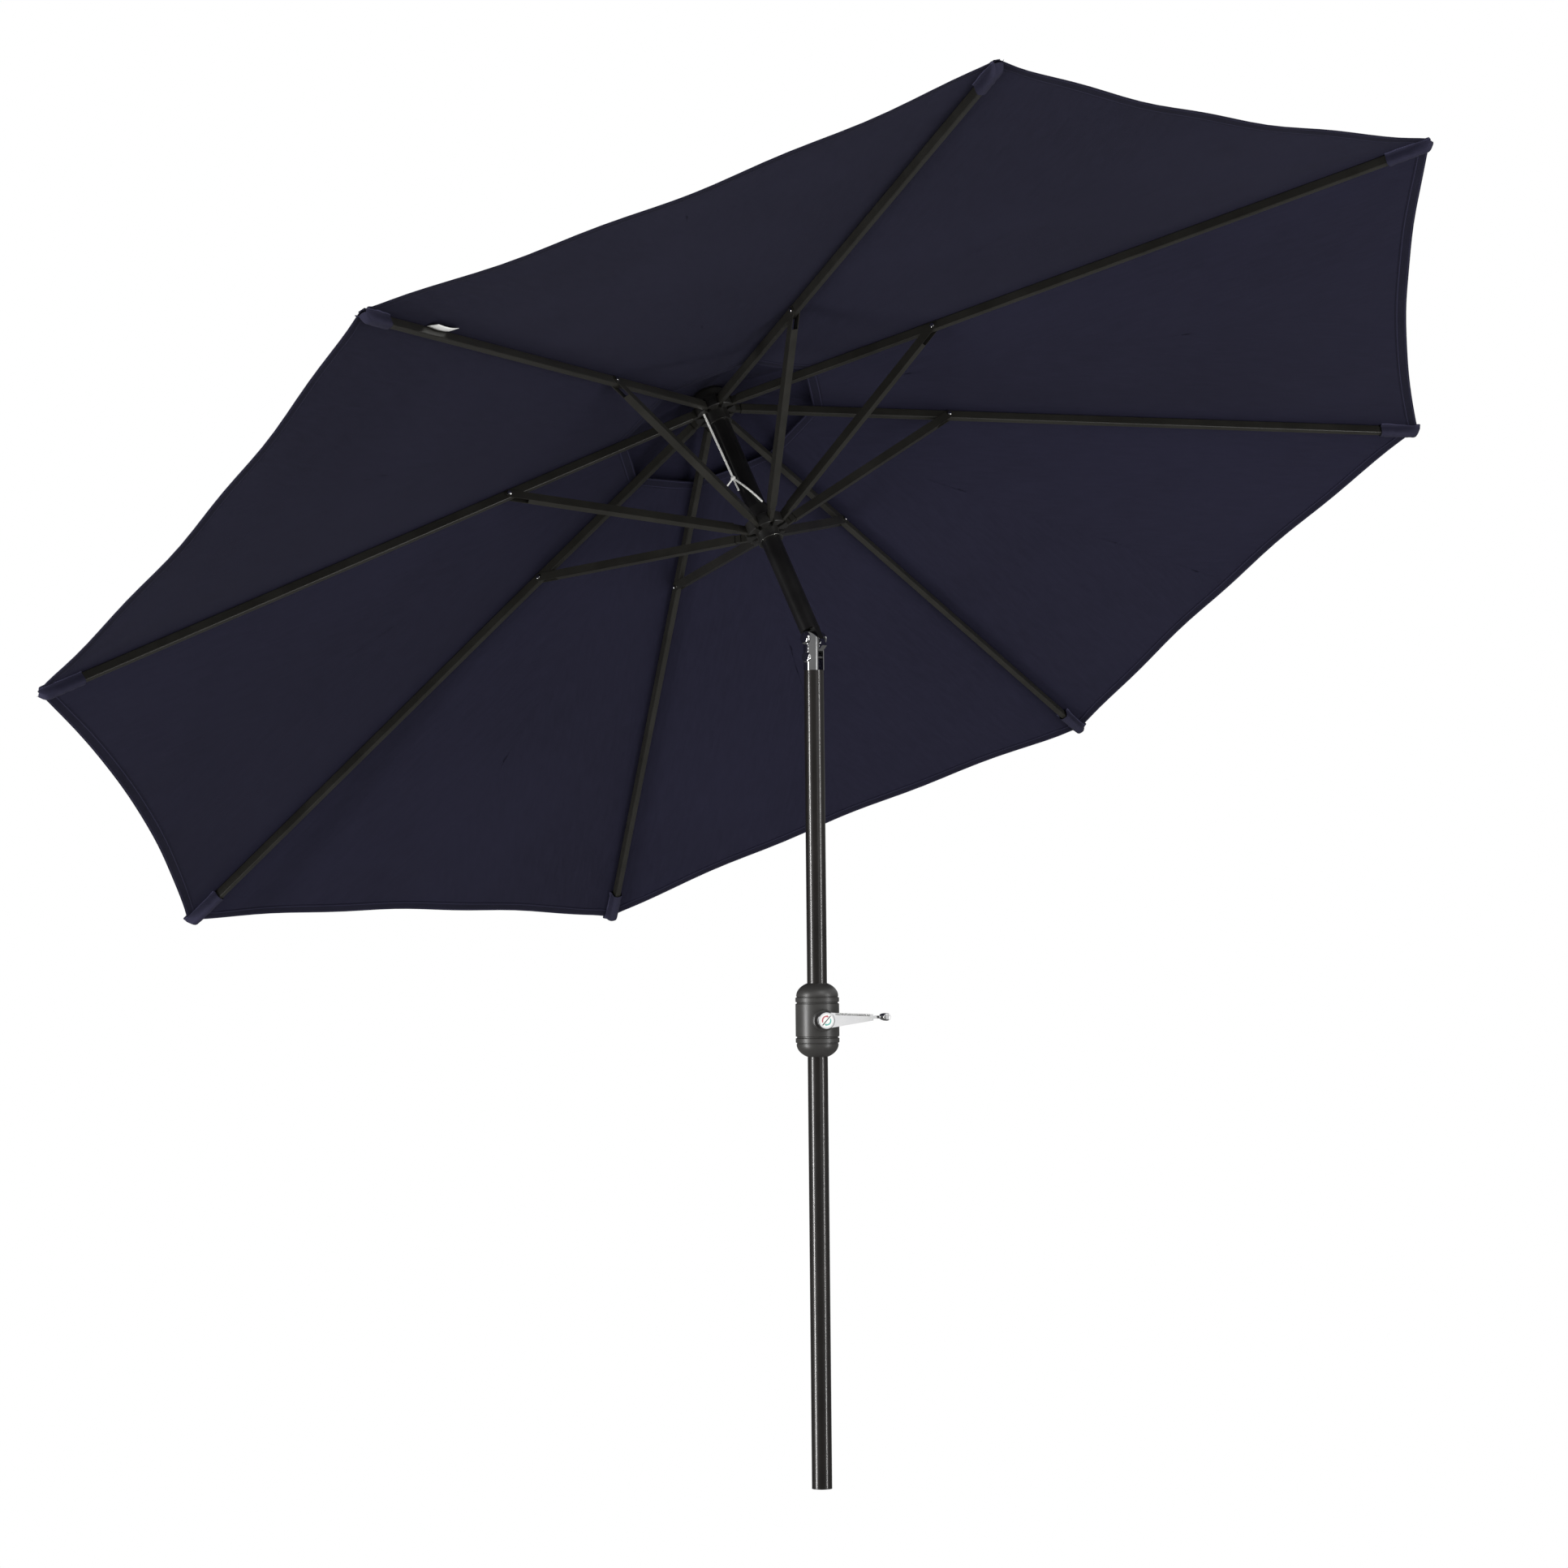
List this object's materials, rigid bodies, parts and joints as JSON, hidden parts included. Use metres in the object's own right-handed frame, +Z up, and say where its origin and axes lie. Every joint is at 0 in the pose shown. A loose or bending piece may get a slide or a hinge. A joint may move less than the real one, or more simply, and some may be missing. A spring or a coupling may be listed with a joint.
{
  "type": "patio umbrella",
  "caption": "Crank-lift market umbrella: a straight pole with a push-button tilt joint, folding ribs and struts under a vented fabric canopy; it stands in a separate base.",
  "frame": {"origin": "centre of the pole's foot, on the pole's axis", "axes": "+Z up along the pole, +X the way the mast leans, +Y along the tilt hinge"},
  "size_m": [2.2941, 2.6722, 2.4532],
  "materials": {
    "bronze_pole": "glossy dark bronze powder coat",
    "black_mast": "satin near-black coat",
    "rib_steel": "dark olive-grey coated steel",
    "chrome": "polished chrome plate",
    "housing_plastic": "satin dark grey-brown moulding",
    "hub_plastic": "dark moulded nylon",
    "foot_plastic": "black moulded plug",
    "navy_fabric": "dark navy woven polyester",
    "white_cord": "white braided polyester cord",
    "spring_steel": "plain bright steel",
    "badge_disc": "printed disc with a two-way turning mark"
  },
  "bodies": {
    "root": {"pole_foot_cap": "foot_plastic", "lower_pole": "bronze_pole", "pole_joint_sleeve": "spring_steel", "middle_pole": "bronze_pole", "crank_housing_front": "housing_plastic", "crank_housing_rear": "housing_plastic", "housing_screws": "spring_steel", "crank_bush": "hub_plastic", "brake_spring": "spring_steel", "tilt_clevis": "chrome", "tilt_pin": "chrome", "lift_cord_in_pole": "white_cord", "button_spring": "spring_steel"},
    "mast": {"upper_mast": "black_mast", "tilt_tongue": "black_mast", "tilt_ratchet": "chrome", "top_hub": "hub_plastic", "hub_pins": "spring_steel", "pulley_axle": "spring_steel", "mast_cap": "hub_plastic", "finial": "hub_plastic", "vent_cap": "navy_fabric", "lift_cord_in_mast": "white_cord", "lift_cord_drop": "white_cord"},
    "pulley": {"cord_pulley": "hub_plastic"},
    "crank": {"crank_handle": "chrome", "crank_shaft": "spring_steel", "crank_badge": "badge_disc"},
    "crank_knob": {"crank_knob": "chrome"},
    "runner": {"runner": "hub_plastic", "runner_pins": "spring_steel", "lift_cord_knot": "white_cord"},
    "tilt_button": {"tilt_button": "chrome"},
    "rib_1": {"rib_1": "rib_steel", "canopy_panel_1": "navy_fabric"},
    "strut_1": {"strut_1": "rib_steel"},
    "rib_2": {"rib_2": "rib_steel", "canopy_panel_2": "navy_fabric"},
    "strut_2": {"strut_2": "rib_steel"},
    "rib_3": {"rib_3": "rib_steel", "canopy_panel_3": "navy_fabric"},
    "strut_3": {"strut_3": "rib_steel"},
    "rib_4": {"rib_4": "rib_steel", "canopy_panel_4": "navy_fabric"},
    "strut_4": {"strut_4": "rib_steel"},
    "rib_5": {"rib_5": "rib_steel", "canopy_panel_5": "navy_fabric"},
    "strut_5": {"strut_5": "rib_steel"},
    "rib_6": {"rib_6": "rib_steel", "canopy_panel_6": "navy_fabric"},
    "strut_6": {"strut_6": "rib_steel"},
    "rib_7": {"rib_7": "rib_steel", "canopy_panel_7": "navy_fabric"},
    "strut_7": {"strut_7": "rib_steel"},
    "rib_8": {"rib_8": "rib_steel", "canopy_panel_8": "navy_fabric"},
    "strut_8": {"strut_8": "rib_steel"}
  },
  "joints": [
    {"name": "tilt", "type": "hinge", "parent": "root", "child": "mast", "pos_m": [0, 0, 1.591], "axis": [0, -1, 0], "range_deg": [0, 31]},
    {"name": "canopy_fold", "type": "hinge", "parent": "mast", "child": "rib_1", "pos_m": [0.30041, 0.01301, 2.02998], "axis": [-0.328, 0.9239, 0.1971], "range_deg": [0, 15.5], "deforming": ["canopy_panel_1", "lift_cord_drop"]},
    {"name": "rib_2_fold", "type": "hinge", "parent": "mast", "child": "rib_2", "pos_m": [0.28464, 0.03141, 2.03945], "axis": [-0.7919, 0.3827, 0.4758], "range_deg": [0, 15.5], "deforming": ["canopy_panel_2"]},
    {"name": "rib_3_fold", "type": "hinge", "parent": "mast", "child": "rib_3", "pos_m": [0.26233, 0.03141, 2.05286], "axis": [-0.7919, -0.3827, 0.4758], "range_deg": [0, 15.5], "deforming": ["canopy_panel_3"]},
    {"name": "rib_4_fold", "type": "hinge", "parent": "mast", "child": "rib_4", "pos_m": [0.24656, 0.01301, 2.06233], "axis": [-0.328, -0.9239, 0.1971], "range_deg": [0, 15.5], "deforming": ["canopy_panel_4"]},
    {"name": "rib_5_fold", "type": "hinge", "parent": "mast", "child": "rib_5", "pos_m": [0.24656, -0.01301, 2.06233], "axis": [0.328, -0.9239, -0.1971], "range_deg": [0, 15.5], "deforming": ["canopy_panel_5"]},
    {"name": "rib_6_fold", "type": "hinge", "parent": "mast", "child": "rib_6", "pos_m": [0.26233, -0.03141, 2.05286], "axis": [0.7919, -0.3827, -0.4758], "range_deg": [0, 15.5], "deforming": ["canopy_panel_6"]},
    {"name": "rib_7_fold", "type": "hinge", "parent": "mast", "child": "rib_7", "pos_m": [0.28464, -0.03141, 2.03945], "axis": [0.7919, 0.3827, -0.4758], "range_deg": [0, 15.5], "deforming": ["canopy_panel_7"]},
    {"name": "rib_8_fold", "type": "hinge", "parent": "mast", "child": "rib_8", "pos_m": [0.30041, -0.01301, 2.02998], "axis": [0.328, 0.9239, -0.1971], "range_deg": [0, 15.5], "deforming": ["canopy_panel_8"]},
    {"name": "strut_1_fold", "type": "hinge", "parent": "rib_1", "child": "strut_1", "pos_m": [0.58957, 0.1786, 1.73504], "axis": [-0.328, 0.9239, 0.1971], "range_deg": [-27.08, 0]},
    {"name": "strut_2_fold", "type": "hinge", "parent": "rib_2", "child": "strut_2", "pos_m": [0.37307, 0.43118, 1.86512], "axis": [-0.7919, 0.3827, 0.4758], "range_deg": [-27.08, 0]},
    {"name": "strut_3_fold", "type": "hinge", "parent": "rib_3", "child": "strut_3", "pos_m": [0.06689, 0.43118, 2.0491], "axis": [-0.7919, -0.3827, 0.4758], "range_deg": [-27.08, 0]},
    {"name": "strut_4_fold", "type": "hinge", "parent": "rib_4", "child": "strut_4", "pos_m": [-0.14961, 0.1786, 2.17918], "axis": [-0.328, -0.9239, 0.1971], "range_deg": [-27.08, 0]},
    {"name": "strut_5_fold", "type": "hinge", "parent": "rib_5", "child": "strut_5", "pos_m": [-0.14961, -0.1786, 2.17918], "axis": [0.328, -0.9239, -0.1971], "range_deg": [-27.08, 0]},
    {"name": "strut_6_fold", "type": "hinge", "parent": "rib_6", "child": "strut_6", "pos_m": [0.06689, -0.43118, 2.0491], "axis": [0.7919, -0.3827, -0.4758], "range_deg": [-27.08, 0]},
    {"name": "strut_7_fold", "type": "hinge", "parent": "rib_7", "child": "strut_7", "pos_m": [0.37307, -0.43118, 1.86512], "axis": [0.7919, 0.3827, -0.4758], "range_deg": [-27.08, 0]},
    {"name": "strut_8_fold", "type": "hinge", "parent": "rib_8", "child": "strut_8", "pos_m": [0.58957, -0.1786, 1.73504], "axis": [0.328, 0.9239, -0.1971], "range_deg": [-27.08, 0]},
    {"name": "runner_slide", "type": "slide", "parent": "mast", "child": "runner", "axis": [-0.515, 0, -0.8572], "range_m": [0, 0.19516]},
    {"name": "crank_turn", "type": "hinge", "parent": "root", "child": "crank", "pos_m": [0, 0, 0.8745], "axis": [-0.891, 0.454, 0], "range_deg": [0, 1228.7]},
    {"name": "pulley_turn", "type": "hinge", "parent": "mast", "child": "pulley", "pos_m": [0.28497, 0.0189, 2.06142], "axis": [0.8525, -0.1045, -0.5122], "range_deg": [-1016.47, 0]},
    {"name": "crank_knob_spin", "type": "hinge", "parent": "crank", "child": "crank_knob", "pos_m": [-0.10425, -0.07243, 0.87997], "axis": [-0.891, 0.454, 0], "continuous": true},
    {"name": "tilt_button_press", "type": "slide", "parent": "root", "child": "tilt_button", "axis": [0, -1, 0], "range_m": [0, 0.0045], "stiffness_N_per_m": 600, "springref_m": -0.004, "deforming": ["button_spring"]}
  ],
  "couplings": [
    {"joint": "rib_2_fold", "follows": "canopy_fold", "ratio": 1},
    {"joint": "rib_3_fold", "follows": "canopy_fold", "ratio": 1},
    {"joint": "rib_4_fold", "follows": "canopy_fold", "ratio": 1},
    {"joint": "rib_5_fold", "follows": "canopy_fold", "ratio": 1},
    {"joint": "rib_6_fold", "follows": "canopy_fold", "ratio": 1},
    {"joint": "rib_7_fold", "follows": "canopy_fold", "ratio": 1},
    {"joint": "rib_8_fold", "follows": "canopy_fold", "ratio": 1},
    {"joint": "strut_1_fold", "follows": "canopy_fold", "ratio": -1.7466},
    {"joint": "strut_2_fold", "follows": "canopy_fold", "ratio": -1.7466},
    {"joint": "strut_3_fold", "follows": "canopy_fold", "ratio": -1.7466},
    {"joint": "strut_4_fold", "follows": "canopy_fold", "ratio": -1.7466},
    {"joint": "strut_5_fold", "follows": "canopy_fold", "ratio": -1.7466},
    {"joint": "strut_6_fold", "follows": "canopy_fold", "ratio": -1.7466},
    {"joint": "strut_7_fold", "follows": "canopy_fold", "ratio": -1.7466},
    {"joint": "strut_8_fold", "follows": "canopy_fold", "ratio": -1.7466},
    {"joint": "runner_slide", "follows": "canopy_fold", "m_per_rad": 0.72136},
    {"joint": "crank_turn", "follows": "canopy_fold", "ratio": 79.27},
    {"joint": "pulley_turn", "follows": "canopy_fold", "ratio": -65.578}
  ]
}
